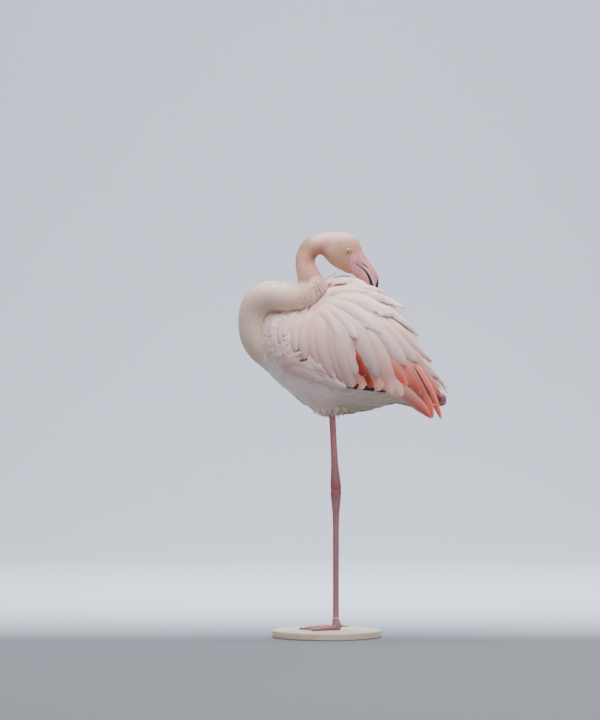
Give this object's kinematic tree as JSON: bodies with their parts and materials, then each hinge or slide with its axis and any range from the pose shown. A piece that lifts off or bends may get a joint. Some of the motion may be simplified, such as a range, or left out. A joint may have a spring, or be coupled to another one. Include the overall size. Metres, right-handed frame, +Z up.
{
  "type": "flamingo model",
  "caption": "Life-size still model of a greater flamingo resting on one leg, neck folded back and bill tucked into its back feathers, on a flat round base.",
  "frame": {"origin": "on the underside of the base, below the standing leg", "axes": "+Z up, the bird's breast towards -X, its left side towards -Y"},
  "size_m": [0.4616, 0.24, 0.8908],
  "materials": {
    "plumage": "soft pale pink-white feathers",
    "neck_plumage": "short, fine, peach-pink feathers",
    "tail_plumage": "soft salmon-pink feathers",
    "flight_black": "smooth black feathers",
    "bill": "smooth pink horn, black towards the tip",
    "leg_skin": "scaled pinkish-red skin",
    "eye": "glossy pale yellow with a dark pupil",
    "base": "plain pale wood, matt"
  },
  "bodies": {
    "root": {"torso": "plumage", "neck_base": "neck_plumage", "neck_middle": "neck_plumage", "neck_upper": "neck_plumage", "head": "neck_plumage", "eye_left": "eye", "eye_right": "eye", "bill_upper": "bill", "bill_lower": "bill", "wing_left": "plumage", "wing_right": "plumage", "primaries_left": "flight_black", "primaries_right": "flight_black", "tail": "tail_plumage", "shank_left": "leg_skin", "tarsus_left": "leg_skin", "foot_left": "leg_skin", "shank_right": "leg_skin", "tarsus_right": "leg_skin", "foot_right": "leg_skin", "stand_base": "base"}
  },
  "joints": []
}
